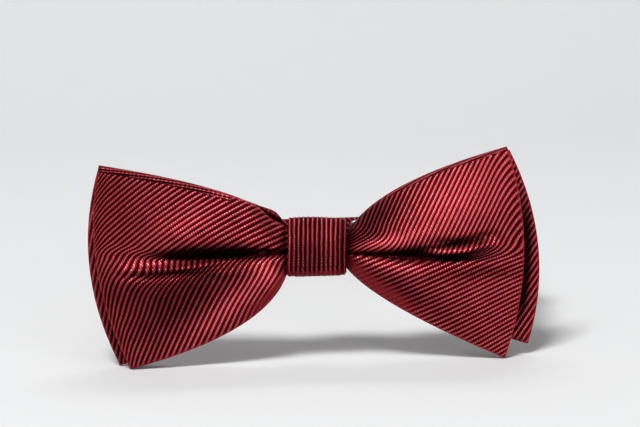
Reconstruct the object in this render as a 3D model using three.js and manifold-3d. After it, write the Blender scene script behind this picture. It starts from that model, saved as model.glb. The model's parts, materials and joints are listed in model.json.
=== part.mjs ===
// A pre-tied bow tie on an adjustable neck strap, in millimetres, +Z up.
//
// The pieces are drawn in the tie's own upright frame. Its origin is the middle of the knot, +x runs
// along the bow to the right as one faces it, +y from the face of the bow back to the neck, and +z up.
// The group then leans back until the tie stands on its two lower wing tips and on the nape of the
// strap, and moves so that its origin is the middle of the footprint, on the surface it stands on.
import * as THREE from "three";
import { mergeVertices } from "three/addons/utils/BufferGeometryUtils.js";
import Module from "manifold-3d";

const wasm = await Module();
wasm.setup();

// Clearances and cloth thicknesses.
const GAP = 0.3; // between neighbouring pieces
const SILK = 0.6; // wall of a bow layer's silk casing
const BAND = 0.8; // wall of the knot's band, and of its interlining
const THREAD = 0.5; // sewing thread, laid double
const WIRE = 1.4; // round wire of the hook, the eye and the slider

// The bow: two layers, one behind the other, pinched together inside the knot.
const LAYER = 3.4; // thickness of a layer at the pinch
const WING_LAYER = 3; // and out on the wing
const EDGE_LAYER = 1.8; // and at its edges
const PINCH_HALF = 4.1; // half the pinched height
const PINCH_X = 6.3; // half the length of the pinched stretch
const WING_X = 8.4; // where the wings start, just outside the knot
const EDGE_BULGE = 5.3; // how far the outer edge bows out between its tips
const TIP_Z = -31; // the lower tips of the front layer, which the tie stands on

// Each edge is a quadratic curve in distance from the knot and height: its start, its pull and its tip.
const FRONT_LAYER = {
  knotY: -4.2,
  edgeY: -4,
  lobes: 4.2,
  left: {
    upper: [[WING_X, 6], [15.5, 15.8], [57, 23.6]],
    lower: [[WING_X, -7.4], [14.5, -22.5], [49.8, TIP_Z]],
  },
  right: {
    upper: [[WING_X, 3.8], [15.5, 16.5], [51.4, 25.4]],
    lower: [[WING_X, -6.6], [17, -16.5], [49.2, TIP_Z]],
  },
};
const REAR_LAYER = {
  knotY: -0.5,
  edgeY: 0.1,
  lobes: 0,
  left: {
    upper: [[WING_X, 6.4], [13, 17.5], [57.6, 22.8]],
    lower: [[WING_X, -6.4], [15.5, -20.5], [53, TIP_Z + 0.9]],
  },
  right: {
    upper: [[WING_X, 3.8], [15, 15.5], [52.4, 24.6]],
    lower: [[WING_X, -6.2], [17.5, -15], [55.8, TIP_Z + 3.4]],
  },
};

// The knot: a band wrapped round the pinched layers and the end of the strap.
const KNOT_HALF_X = 7.7;
const KNOT_HALF_Z = 7.7;
const KNOT_FRONT_Y = -9;
const KNOT_BACK_Y = 7; // flat, and rests on the collar
const KNOT_CORNER = 2.4;

// The strap: a ring round the neck, with two rounded front corners and a half round nape.
const STRAP_Y = 3.3; // its middle where it passes through the knot
const STRAP_HALF = 7.5; // half its width
const STRAP_THICK = 1.4;
const ANCHOR_HALF = 5; // half its width where it is squeezed inside the knot
const CORNER_X = 28; // centres of the front corners
const CORNER_R = 28;
const NAPE_Y = 74; // centre of the nape's half round
const NAPE_R = CORNER_X + CORNER_R;
const CORNER_Y = STRAP_Y + CORNER_R;
const FLEX_ANGLE = 225; // where on the left corner the strap bends open, in degrees

// The clasp at the right of the knot, and the slider on the right side of the strap.
const EYE = { left: 9.4, right: 16.2, half: 6.4, y: 3.2 };
const HOOK_TURN = (WIRE + STRAP_THICK) / 2 + 0.15; // how wide the strap turns round the hook's bar
const HOOK = { left: 18.5, right: 25, half: STRAP_HALF + 0.4 + WIRE / 2, y: STRAP_Y + HOOK_TURN };
const HOOK_TONGUE = 1.2;
const LIP_X = 14.3;
const LIP_END_Y = 2.3;
const TAIL_THICK = 1.2;
const TAIL_STEP = STRAP_THICK / 2 + 0.4 + TAIL_THICK / 2; // from the strap's middle to the tail's
const TAIL_SPLIT_Y = 38; // where the tail's last stretch starts
const SLIDER = { y: 46, reach: 5.2, plate: 1.4 };
const TAIL_LOOP_R = WIRE / 2 + 0.2 + TAIL_THICK;
const SLIDER_BAR_X = NAPE_R - STRAP_THICK / 2 - GAP - TAIL_LOOP_R;

const material = (color, roughness, metalness = 0) =>
  new THREE.MeshStandardMaterial({ color, roughness, metalness });
const silk = material(0x8a1f2c, 0.4);
const canvas = material(0xd9d2c2, 0.9);
const thread = material(0x5c1019, 0.6);
const nickel = material(0xa7a8aa, 0.3, 1);

const tie = new THREE.Group();

function addPiece(name, geometry, finish) {
  const mesh = new THREE.Mesh(geometry, finish);
  mesh.name = name;
  tie.add(mesh);
}

// ---- shared shape makers ----

// A closed surface whose faces are turned to point outwards.
function closedSurface(points, faces) {
  const volume = faces.reduce((sum, [a, b, c]) => {
    return sum + points[a].dot(new THREE.Vector3().crossVectors(points[b], points[c]));
  }, 0);
  const outward = volume < 0 ? faces.map(([a, b, c]) => [a, c, b]) : faces;
  return new THREE.BufferGeometry().setFromPoints(points).setIndex(outward.flat());
}

// Joins a row of sections with the same number of points. The end sections are filled in, or join each
// other when the row is a ring.
function loft(sections, ring = false) {
  const count = sections[0].length;
  const at = (row, i) => (row % sections.length) * count + (i % count);
  const faces = [];
  const rows = ring ? sections.length : sections.length - 1;
  for (let row = 0; row < rows; row += 1) {
    for (let i = 0; i < count; i += 1) {
      faces.push([at(row, i), at(row, i + 1), at(row + 1, i)]);
      faces.push([at(row, i + 1), at(row + 1, i + 1), at(row + 1, i)]);
    }
  }
  const fill = (row, side) => {
    for (let i = 0; i < count / 2 - 1; i += 1) {
      const corners = [i, i + 1, count - 2 - i, count - 1 - i].map((k) => at(row, k));
      const [a, b, c, d] = side > 0 ? corners : corners.reverse();
      faces.push([a, b, c], [a, c, d]);
    }
  };
  if (!ring) {
    fill(0, -1);
    fill(sections.length - 1, 1);
  }
  return closedSurface(sections.flat(), faces);
}

// Carries a section along a path that lies in the plane with the given normal. A section's points are
// [across the path in its plane, along the normal], and section(i, share) may change along the path.
function sweep(path, section, normal, ring = false) {
  const last = path.length - 1;
  const sections = path.map((point, i) => {
    const before = path[i > 0 ? i - 1 : ring ? last : 0];
    const after = path[i < last ? i + 1 : ring ? 0 : last];
    const across = new THREE.Vector3().subVectors(after, before).cross(normal).normalize();
    return section(i, i / last).map(([a, b]) =>
      point.clone().addScaledVector(across, a).addScaledVector(normal, b),
    );
  });
  return loft(sections, ring);
}

function roundSection(diameter, sides) {
  const points = [];
  for (let i = 0; i < sides; i += 1) {
    const turn = ((i + 0.5) / sides) * 2 * Math.PI;
    points.push([(diameter / 2) * Math.cos(turn), (diameter / 2) * Math.sin(turn)]);
  }
  return () => points;
}

function flatSection(halfThick, halfWide) {
  return [[-halfThick, -halfWide], [halfThick, -halfWide], [halfThick, halfWide], [-halfThick, halfWide]];
}

const AXIS_X = new THREE.Vector3(1, 0, 0);
const AXIS_Y = new THREE.Vector3(0, 1, 0);
const AXIS_Z = new THREE.Vector3(0, 0, 1);

// Points on an arc in the x, y plane, from one angle to another in degrees.
function arc(x, y, radius, from, to, steps) {
  const points = [];
  for (let i = 0; i <= steps; i += 1) {
    const turn = THREE.MathUtils.degToRad(from + ((to - from) * i) / steps);
    points.push(new THREE.Vector3(x + radius * Math.cos(turn), y + radius * Math.sin(turn), 0));
  }
  return points;
}

// A closed loop of wire with rounded corners, in a plane of constant y.
function wireLoop({ left, right, half, y }) {
  const radius = 1.5;
  const path = [];
  for (const [x, z, start] of [
    [right - radius, half - radius, 0],
    [left + radius, half - radius, 90],
    [left + radius, radius - half, 180],
    [right - radius, radius - half, 270],
  ]) {
    for (const p of arc(x, z, radius, start, start + 90, 3)) path.push(new THREE.Vector3(p.x, y, p.y));
  }
  return sweep(path, roundSection(WIRE, 8), AXIS_Y, true);
}

function solid(geometry) {
  const bare = geometry.clone();
  bare.deleteAttribute("normal");
  bare.deleteAttribute("uv");
  const merged = mergeVertices(bare, 1e-4);
  const vertProperties = merged.getAttribute("position").array;
  return new wasm.Manifold(
    new wasm.Mesh({ numProp: 3, vertProperties, triVerts: new Uint32Array(merged.index.array) }),
  );
}

function geometryOf(made) {
  const mesh = made.getMesh();
  return new THREE.BufferGeometry()
    .setAttribute("position", new THREE.BufferAttribute(mesh.vertProperties, 3))
    .setIndex(new THREE.BufferAttribute(mesh.triVerts, 1));
}

const joined = (...geometries) => geometryOf(geometries.map(solid).reduce((a, b) => a.add(b)));
const cut = (body, ...tools) => geometryOf(tools.map(solid).reduce((a, b) => a.subtract(b), solid(body)));

// A box between two opposite corners.
function block(low, high) {
  const [a, b] = [new THREE.Vector3(...low), new THREE.Vector3(...high)];
  const size = b.clone().sub(a);
  const middle = a.add(b).multiplyScalar(0.5);
  return new THREE.BoxGeometry(size.x, size.y, size.z).translate(middle.x, middle.y, middle.z);
}

// An upright round bar.
function post(x, y, radius, half, sides) {
  return new THREE.CylinderGeometry(radius, radius, 2 * half, sides).rotateX(Math.PI / 2).translate(x, y, 0);
}

// Zigzag stitching in the plane with the given normal: along is the way it runs, across its swing.
function stitching(centre, along, across, length, swing, turns, normal) {
  const path = [];
  for (let i = 0; i <= turns; i += 1) {
    const forward = length * (i / turns - 0.5);
    const side = i % 2 ? swing / 2 : -swing / 2;
    path.push(centre.clone().addScaledVector(along, forward).addScaledVector(across, side));
  }
  return sweep(path, roundSection(THREAD, 6), normal);
}

// ---- the two bow layers ----

const onCurve = ([a, b, c], u) => [0, 1].map((k) => (1 - u) ** 2 * a[k] + 2 * u * (1 - u) * b[k] + u * u * c[k]);

// How far the puffed cloth stands forward: two lobes with a sharp pleat between them, flat at the knot
// and at the outer edge.
const puff = (u, v) => Math.sin(Math.PI * u ** 0.8) * Math.abs(Math.sin(Math.PI * v));

// The section of a layer at one station, as a closed row of points up its front and down its back. The
// edges come in by inset and both faces by wall, which gives the hollow and the interlining.
function layerSection(layer, side, u, inset, wall) {
  const wing = side < 0 ? layer.left : layer.right;
  const inKnot = u < 0; // u from -1, the middle of the knot, to 0, where the wing starts
  const out = Math.max(u, 0);
  let [topX, topZ] = onCurve(wing.upper, out);
  let [bottomX, bottomZ] = onCurve(wing.lower, out);
  if (inKnot) {
    const x = (1 + u) * WING_X;
    const open = Math.max(0, (x - PINCH_X) / (WING_X - PINCH_X));
    topX = x;
    bottomX = x;
    topZ = THREE.MathUtils.lerp(PINCH_HALF, topZ, open);
    bottomZ = THREE.MathUtils.lerp(-PINCH_HALF, bottomZ, open);
  }
  const halfHeight = (topZ - bottomZ) / 2;
  const reach = 1 - inset / halfHeight;
  const thick = THREE.MathUtils.lerp(LAYER, WING_LAYER, Math.min(1, out * 4));
  const front = [];
  const back = [];
  for (let k = -4; k <= 4; k += 1) {
    const v = (k / 4) * reach;
    const share = (v + 1) / 2;
    const x = THREE.MathUtils.lerp(bottomX, topX, share) + EDGE_BULGE * (1 - v * v) * out ** 3;
    const z = THREE.MathUtils.lerp(bottomZ, topZ, share);
    const middle = THREE.MathUtils.lerp(layer.knotY, layer.edgeY, out) - layer.lobes * puff(out, v);
    const half = THREE.MathUtils.lerp(thick, EDGE_LAYER, v ** 4) / 2 - wall;
    front.push(new THREE.Vector3(side * x, middle - half, z));
    back.unshift(new THREE.Vector3(side * x, middle + half, z));
  }
  return [...front, ...back];
}

// A layer from its left outer edge to its right one.
function layerBody(layer, inset, wall) {
  const outermost = 1 - inset / (NAPE_R - WING_X);
  const stations = [-1, PINCH_X / WING_X - 1, 0, 0.1, 0.22, 0.36, 0.5, 0.65, 0.8, 0.91, outermost];
  const right = stations.map((u) => layerSection(layer, 1, u, inset, wall));
  const left = stations.slice(1).map((u) => layerSection(layer, -1, u, inset, wall));
  return loft([...left.reverse(), ...right]);
}

// The silk casing is hollow for its interlining, with the gap it was turned through at its back,
// inside the knot.
function silkCasing(layer) {
  const gap = block([-2, layer.knotY, -1.2], [2, layer.knotY + LAYER, 1.2]);
  return cut(layerBody(layer, 0, 0), layerBody(layer, 1.2, SILK), gap);
}

for (const [name, layer] of [["front_bow", FRONT_LAYER], ["rear_bow", REAR_LAYER]]) {
  addPiece(name, silkCasing(layer), silk);
  addPiece(`${name}_interlining`, layerBody(layer, 2, SILK + GAP), canvas);
}

// The gathering thread, three turns round both pinched layers.
class GatherPath extends THREE.Curve {
  getPoint(share) {
    const turn = share * 6 * Math.PI;
    const y = (FRONT_LAYER.knotY + REAR_LAYER.knotY) / 2;
    const reachY = (REAR_LAYER.knotY - FRONT_LAYER.knotY + LAYER) / 2 + 0.7;
    const reachZ = PINCH_HALF + 0.8;
    const [c, s] = [Math.cos(turn), Math.sin(turn)];
    const square = (value) => Math.sign(value) * Math.abs(value) ** 0.5;
    return new THREE.Vector3(2.4 * (share - 0.5), y + reachY * square(c), reachZ * square(s));
  }
}

function gatherThread() {
  const shape = new THREE.Shape(roundSection(THREAD, 6)().map(([x, y]) => new THREE.Vector2(x, y)));
  return new THREE.ExtrudeGeometry(shape, { steps: 60, extrudePath: new GatherPath() });
}

addPiece("gather_thread", gatherThread(), thread);

// ---- the knot ----

// The band's outline across the bow, drawn as (y, z): a flat back and a domed front.
function knotOutline(inset, Kind) {
  const back = KNOT_BACK_Y - inset;
  const half = KNOT_HALF_Z - inset;
  const corner = KNOT_CORNER - inset / 3;
  const domeY = KNOT_FRONT_Y + 4.6;
  return new Kind()
    .moveTo(back, -half + corner)
    .lineTo(back, half - corner)
    .absarc(back - corner, half - corner, corner, 0, Math.PI / 2)
    .lineTo(domeY, half)
    .absellipse(domeY, 0, domeY - KNOT_FRONT_Y - inset, half, Math.PI / 2, 1.5 * Math.PI)
    .lineTo(back - corner, -half)
    .absarc(back - corner, -half + corner, corner, -Math.PI / 2, 0);
}

function knotSleeve(inset, halfX) {
  const shape = knotOutline(inset, THREE.Shape);
  shape.holes.push(knotOutline(inset + BAND, THREE.Path));
  const sleeve = new THREE.ExtrudeGeometry(shape, { depth: 2 * halfX, bevelEnabled: false, curveSegments: 5 });
  return sleeve.rotateY(Math.PI / 2).rotateX(Math.PI / 2).translate(-halfX, 0, 0);
}

addPiece("knot_band", knotSleeve(0, KNOT_HALF_X), silk);
addPiece("knot_interlining", knotSleeve(BAND + GAP, KNOT_HALF_X - 1.4), canvas);
const seamCentre = new THREE.Vector3(0, 2.6, -KNOT_HALF_Z - GAP - THREAD / 2);
addPiece("knot_seam_thread", stitching(seamCentre, AXIS_X, AXIS_Y, 12, 1.6, 12, AXIS_Z), thread);

// ---- the neck strap ----

const LEFT_CORNER = [-CORNER_X, CORNER_Y];
const RIGHT_CORNER = [CORNER_X, CORNER_Y];

// The fixed end, squeezed narrow inside the knot, out to where the strap bends open.
function strapFront() {
  const endTurn = THREE.MathUtils.radToDeg(GAP / CORNER_R);
  const straight = [1.4, -5, -8.6, -14, -21].map((x) => new THREE.Vector3(x, STRAP_Y, 0));
  const path = [...straight, ...arc(...LEFT_CORNER, CORNER_R, 270, FLEX_ANGLE + endTurn, 4)];
  const width = (x) => THREE.MathUtils.mapLinear(THREE.MathUtils.clamp(-x, 8, 14), 8, 14, ANCHOR_HALF, STRAP_HALF);
  return sweep(path, (i) => flatSection(STRAP_THICK / 2, width(path[i].x)), AXIS_Z);
}

// The rest of the ring: left side, nape, right side and the turn round the hook's bar.
function strapRing() {
  const path = [
    ...arc(...LEFT_CORNER, CORNER_R, FLEX_ANGLE, 180, 4),
    ...arc(0, NAPE_Y, NAPE_R, 180, 0, 20),
    ...arc(...RIGHT_CORNER, CORNER_R, 0, -90, 7),
    ...arc(HOOK.right, HOOK.y, HOOK_TURN, -90, -270, 6),
  ];
  return sweep(path, () => flatSection(STRAP_THICK / 2, STRAP_HALF), AXIS_Z);
}

// The doubled-back tail: it runs inside the strap from the hook round the right corner.
function strapTail() {
  const outer = HOOK.y + HOOK_TURN;
  const start = new THREE.Vector3(HOOK.right + GAP, outer, 0);
  const corner = arc(...RIGHT_CORNER, CORNER_R - TAIL_STEP, -80, 0, 7);
  const path = [start, ...corner, new THREE.Vector3(NAPE_R - TAIL_STEP, TAIL_SPLIT_Y, 0)];
  return sweep(path, () => flatSection(TAIL_THICK / 2, STRAP_HALF), AXIS_Z);
}

// A strip sewn into a loop round an upright bar: the loop, and the flat strip from it.
function barLoop(x, y, radius, stripLow, stripHigh, half) {
  const loop = joined(post(x, y, radius, half, 16), block([...stripLow, -half], [...stripHigh, half]));
  return cut(loop, post(x, y, WIRE / 2 + 0.2, half + 1, 12));
}

function tailEnd() {
  const [x, y] = [NAPE_R - TAIL_STEP, SLIDER.y];
  const low = [x - TAIL_THICK / 2, TAIL_SPLIT_Y + GAP];
  return barLoop(SLIDER_BAR_X, y, TAIL_LOOP_R, low, [x + TAIL_THICK / 2, y], STRAP_HALF);
}

function eyeTab() {
  const strip = 0.8;
  const low = [1.4 + GAP, EYE.y - strip];
  return barLoop(EYE.left, EYE.y, WIRE / 2 + 0.2 + strip, low, [EYE.left, EYE.y + strip], ANCHOR_HALF - 0.2);
}

addPiece("neck_strap_front", strapFront(), silk);
addPiece("neck_strap", strapRing(), silk);
addPiece("strap_tail", strapTail(), silk);
addPiece("strap_tail_end", tailEnd(), silk);
addPiece("eye_tab", eyeTab(), silk);

const stitchY = STRAP_Y + STRAP_THICK / 2 + GAP + THREAD / 2;
for (const [name, x] of [["strap_anchor_stitch", -2], ["eye_tab_stitch", 5]]) {
  const centre = new THREE.Vector3(x, stitchY + 0.1, 0);
  addPiece(name, stitching(centre, AXIS_Z, AXIS_X, 8, 1.4, 8, AXIS_Y), thread);
}
const tailStitchX = NAPE_R - TAIL_STEP - TAIL_THICK / 2 - GAP - THREAD / 2;
const tailStitch = new THREE.Vector3(tailStitchX, SLIDER.y - TAIL_LOOP_R - 2, 0);
addPiece("tail_end_stitch", stitching(tailStitch, AXIS_Z, AXIS_Y, 13, 1.6, 12, AXIS_X), thread);

// ---- the clasp and the slider ----

// The hook: a wire loop round the strap's turn, and a flat tongue whose lip drops through the eye.
function hook() {
  const bend = 1.1;
  const path = [
    new THREE.Vector3(HOOK.left + 0.3, HOOK.y, 0),
    ...arc(LIP_X + bend, HOOK.y - bend, bend, 90, 180, 3),
    new THREE.Vector3(LIP_X, LIP_END_Y, 0),
  ];
  const tongue = sweep(path, () => flatSection(HOOK_TONGUE / 2, 3), AXIS_Z);
  return joined(wireLoop(HOOK), tongue);
}

// The slider: two side plates joined by two outer bars outside the strap and a middle bar inside it.
function slider() {
  const half = HOOK.half;
  const outerX = NAPE_R + STRAP_THICK / 2 + GAP + WIRE / 2;
  const rim = WIRE / 2 + 0.2;
  const pullX = 2 * (SLIDER_BAR_X - rim) - outerX;
  const outline = new THREE.Shape()
    .moveTo(outerX + rim, SLIDER.y - SLIDER.reach)
    .absarc(outerX, SLIDER.y + SLIDER.reach, rim, 0, Math.PI / 2)
    .quadraticCurveTo(pullX, SLIDER.y, outerX, SLIDER.y - SLIDER.reach - rim)
    .absarc(outerX, SLIDER.y - SLIDER.reach, rim, 1.5 * Math.PI, 2 * Math.PI);
  const plates = [half - SLIDER.plate / 2, -half - SLIDER.plate / 2].map((z) => {
    const options = { depth: SLIDER.plate, bevelEnabled: false, curveSegments: 5 };
    return new THREE.ExtrudeGeometry(outline, options).translate(0, 0, z);
  });
  const bars = [
    [outerX, SLIDER.y - SLIDER.reach],
    [outerX, SLIDER.y + SLIDER.reach],
    [SLIDER_BAR_X, SLIDER.y],
  ].map(([x, y]) => post(x, y, WIRE / 2, half, 10));
  return joined(...plates, ...bars);
}

addPiece("eye", wireLoop(EYE), nickel);
addPiece("hook", hook(), nickel);
addPiece("slider", slider(), nickel);

// ---- standing the tie up ----

const napeBack = NAPE_Y + NAPE_R + STRAP_THICK / 2;
const tipBack = FRONT_LAYER.edgeY + EDGE_LAYER / 2;
const lean = Math.atan2(-TIP_Z - STRAP_HALF, napeBack - tipBack);
tie.rotation.x = -lean;

const footprint = new THREE.Box3().setFromObject(tie, true);
const middle = footprint.getCenter(new THREE.Vector3());
tie.position.set(-middle.x, -middle.y, -footprint.min.z);

const bowTie = new THREE.Group();
bowTie.add(tie);

export default bowTie;
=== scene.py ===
"""The looks of a ready-tied bow tie on an adjustable neck strap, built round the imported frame.

Shapes are worked out in the tie's own upright frame, in millimetres: its origin is the middle of
the knot, x runs along the bow to the right as one faces it, y from the bow's face back to the neck,
and z up. place() turns them into the frame's metres.
"""

import json
import math

import bpy
import numpy as np
from mathutils import Matrix, Vector


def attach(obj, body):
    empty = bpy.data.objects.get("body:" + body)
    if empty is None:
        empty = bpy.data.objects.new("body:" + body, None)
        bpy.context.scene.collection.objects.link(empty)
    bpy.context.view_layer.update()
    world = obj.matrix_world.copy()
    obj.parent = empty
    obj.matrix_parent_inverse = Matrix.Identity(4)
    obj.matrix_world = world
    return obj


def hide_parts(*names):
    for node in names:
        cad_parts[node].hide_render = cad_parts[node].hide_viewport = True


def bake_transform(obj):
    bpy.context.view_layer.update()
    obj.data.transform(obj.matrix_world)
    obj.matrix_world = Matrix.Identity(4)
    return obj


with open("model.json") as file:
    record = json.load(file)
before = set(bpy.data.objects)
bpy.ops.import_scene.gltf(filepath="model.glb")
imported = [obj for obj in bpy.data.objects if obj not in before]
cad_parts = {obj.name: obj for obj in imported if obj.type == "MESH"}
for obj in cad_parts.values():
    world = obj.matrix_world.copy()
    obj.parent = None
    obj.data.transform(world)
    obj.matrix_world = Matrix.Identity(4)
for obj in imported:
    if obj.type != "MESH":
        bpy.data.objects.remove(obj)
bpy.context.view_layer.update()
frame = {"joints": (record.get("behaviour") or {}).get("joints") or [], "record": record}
record = frame["record"]

# ---- the tie's own frame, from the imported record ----

knot_back = next(m for m in record["mounts"] if m["name"] == "knot_back")
strap_open = next(j for j in frame["joints"] if j["name"] == "strap_open")
KNOT_BACK_Y = 7.0
BACK = np.array(knot_back["axis"], float)
UP = np.array(strap_open["axis"], float)
ACROSS = np.cross(BACK, UP)
CENTRE = np.array(knot_back["pos_m"], float) - 0.001 * KNOT_BACK_Y * BACK


def place(points):
    """Millimetres in the tie's frame to metres in the row frame."""
    points = np.asarray(points, float).reshape(-1, 3)
    return CENTRE + 0.001 * (points @ np.array([ACROSS, BACK, UP]))


# ---- driving dimensions ----
# They are the CAD's, apart from the bow's outline and pleats, which are drawn a little finer here.

RIB_PITCH = 1.28  # between the silk's ribs
RIB_HEIGHT = 0.26
WING_X = 8.4  # where a wing starts beside the knot
PINCH_X = 6.3  # how far the pinch inside the knot reaches
PINCH_HALF = 4.1
LAYER_THICK = 3.0
WING_LENGTH = 50.0
TIP_Z = -31.0
# Each wing has an upper and a lower edge, both a curve from the knot to the tip with a pull between.
# The outer edge bulges past the tips, and the left upper edge dips or rises a little by the knot.
FRONT = {
    "knot_y": -4.2, "edge_y": -4.0, "bulge": 4.9, "left_dip": -1.4,
    "left": (
        ((WING_X, 6), (15.5, 15.8), (57.5, 23.6)),
        ((WING_X, -7.4), (14.5, -22.5), (50.6, TIP_Z)),
    ),
    "right": (
        ((WING_X, 3.8), (15.5, 16.5), (51.4, 25.4)),
        ((WING_X, -6.6), (17, -16.5), (49.2, TIP_Z)),
    ),
}
REAR = {
    "knot_y": -0.5, "edge_y": 0.1, "bulge": 5.3, "left_dip": 0.8,
    "left": (
        ((WING_X, 6.4), (13.2, 14.8), (58.1, 22.8)),
        ((WING_X, -6.4), (15.5, -20.5), (53.8, TIP_Z + 0.9)),
    ),
    "right": (
        ((WING_X, 3.8), (15, 15.5), (52.4, 24.6)),
        ((WING_X, -6.2), (17.5, -15), (55.8, TIP_Z + 3.4)),
    ),
}
KNOT_HALF_X = 7.7
KNOT_HALF_Z = 7.7
KNOT_FRONT_Y = -9.0
STRAP_Y = 3.3
STRAP_HALF = 7.5
STRAP_THICK = 1.4
WIRE = 1.4
EYE_LEFT = 9.4
EYE_RIGHT = 16.2
EYE_HALF = 6.4
EYE_Y = 3.2
HOOK_LEFT = 18.5
LIP_X = 14.3
STITCH_Y = 4.3


def smooth(value, low, high):
    """0 below low, 1 above high, and a soft step between them."""
    t = np.clip((np.asarray(value, float) - low) / (high - low), 0, 1)
    return t * t * (3 - 2 * t)


def mix(a, b, share):
    return a + (b - a) * share


def bump(value, middle, width):
    return np.exp(-(((value - middle) / width) ** 2))


# ---- meshes ----


def grid_of(*parts):
    """Arrays that stretch to one grid, stacked as its layers."""
    return np.stack(np.broadcast_arrays(*parts), 2)


def path_sides(line):
    """The unit direction across a path in the x, y plane, to its right, at each of its points."""
    along = np.gradient(line, axis=0)
    along = along / np.linalg.norm(along, axis=1, keepdims=True)
    return np.stack([along[:, 1], -along[:, 0]], 1)


def add_object(name, points, faces, material):
    """A smooth mesh in the scene, from points in the row frame."""
    mesh = bpy.data.meshes.new(name)
    mesh.from_pydata(points, [], faces)
    mesh.update()
    mesh.polygons.foreach_set("use_smooth", [True] * len(mesh.polygons))
    mesh.materials.append(material)
    made = bpy.data.objects.new(name, mesh)
    bpy.context.scene.collection.objects.link(made)
    return made


def make_mesh(name, points, faces, cloth, material):
    """A mesh from points in the tie's frame. cloth holds each point's rib turns, length along the
    rib, painted shade, painted light and shade, and plainness, which the silk's material reads."""
    made = add_object(name, place(points).tolist(), faces, material)
    if cloth is not None:
        mesh = made.data
        cloth = np.asarray(cloth, np.float32)
        attribute = mesh.attributes.new("cloth", "FLOAT_VECTOR", "POINT")
        attribute.data.foreach_set("vector", cloth[:, :3].ravel())
        for column, what in ((3, "painted_light"), (4, "plain")):
            attribute = mesh.attributes.new(what, "FLOAT", "POINT")
            attribute.data.foreach_set("value", np.ascontiguousarray(cloth[:, column]))
    return made


def grid_faces(index, flip):
    """Triangles over a grid of point numbers, each square split along the way the ribs run."""
    a, b = index[:-1, :-1].ravel(), index[1:, :-1].ravel()
    c, d = index[1:, 1:].ravel(), index[:-1, 1:].ravel()
    faces = np.concatenate([np.stack([a, b, c], 1), np.stack([a, c, d], 1)])
    return faces[:, ::-1] if flip else faces


def ring_index(rows, count):
    """Point numbers of rows of rings, each with its first point again at its end."""
    index = np.arange(rows * count).reshape(rows, count)
    return np.concatenate([index, index[:, :1]], 1)


def zip_faces(first, second):
    """Triangles that join two rows of points with different counts."""
    faces, i, j = [], 0, 0
    while i < len(first) - 1 or j < len(second) - 1:
        take_first = j == len(second) - 1 or (
            i < len(first) - 1 and (i + 1) / (len(first) - 1) <= (j + 1) / (len(second) - 1)
        )
        if take_first:
            faces.append((first[i], first[i + 1], second[j]))
            i += 1
        else:
            faces.append((first[i], second[j + 1], second[j]))
            j += 1
    return faces


def surface_normals(grid):
    """Unit normals of a grid of points, from its own slopes."""
    along = np.gradient(grid, axis=0)
    across = np.gradient(grid, axis=1)
    normal = np.cross(along, across)
    return normal / np.maximum(np.linalg.norm(normal, axis=2, keepdims=True), 1e-9)


def rib(turns):
    """The height of a rounded rib between narrow grooves, from 0 to 1."""
    return 1 - np.abs(np.cos(math.pi * turns)) ** 1.6


# ---- the bow layers ----


def on_curve(curve, u):
    (ax, az), (bx, bz), (cx, cz) = curve
    p, q, r = (1 - u) ** 2, 2 * u * (1 - u), u * u
    return p * ax + q * bx + r * cx, p * az + q * bz + r * cz


def wing_plan(layer, side, u, v):
    """Where a layer's points are in the x, z plane. u runs from -1, the middle of the knot, through
    0, where the wing starts, to 1, its outer edge. v runs from -1, the lower edge, to 1, the upper."""
    upper, lower = layer["left" if side < 0 else "right"]
    out = np.maximum(u, 0)
    top_x, top_z = on_curve(upper, out)
    low_x, low_z = on_curve(lower, out)
    inner_x = (1 + np.minimum(u, 0)) * WING_X
    opening = np.clip((inner_x - PINCH_X) / (WING_X - PINCH_X), 0, 1)
    inside = u < 0
    top_x = np.where(inside, inner_x, top_x)
    low_x = np.where(inside, inner_x, low_x)
    top_z = np.where(inside, mix(PINCH_HALF, upper[0][1], opening), top_z)
    low_z = np.where(inside, mix(-PINCH_HALF, lower[0][1], opening), low_z)
    if side < 0:
        top_z = top_z + layer["left_dip"] * bump(u, 0.16, 0.1)
    share = (v[None, :] + 1) / 2
    bulge = layer["bulge"] * (1 - v[None, :] ** 2) * out[:, None] ** 3
    x = mix(low_x[:, None], top_x[:, None], share) + bulge
    z = mix(low_z[:, None], top_z[:, None], share)
    return side * x, z, top_z[:, None], low_z[:, None]


def edge_distance(x):
    """How far each point of a wing is from its outer edge, along its row, in millimetres."""
    return np.abs(np.abs(x) - np.abs(x[-1:, :]))


def spaced(count, close):
    """From -1 to 1, with points closer together near both ends."""
    t = np.linspace(-1, 1, count)
    return (1 - close) * t + close * np.sin(t * math.pi / 2)


def thickness(layer_thick, u, v, height, length):
    """Half a layer's thickness, rounded off at its upper, lower and outer edges."""
    out = np.maximum(u, 0)[:, None]
    thick = mix(mix(3.4, layer_thick, np.minimum(1, out * 4)), 1.9, np.abs(v[None, :]) ** 4) / 2
    edge = 0.95
    from_side = (1 - np.abs(v[None, :])) * height / 2
    round_side = np.sqrt(1 - (1 - np.clip(from_side / edge, 0, 1)) ** 2)
    from_end = (1 - u)[:, None] * length
    round_end = np.sqrt(np.clip(1 - (1 - np.clip(from_end / edge, 0, 1)) ** 2, 0.03, 1))
    return thick * round_side * round_end


def lobe(share, power):
    """The puff of one half of a wing, from the pleat to its edge: a steep rise and a long fall."""
    return np.sin(math.pi * np.clip(share, 0, 1) ** power)


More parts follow.
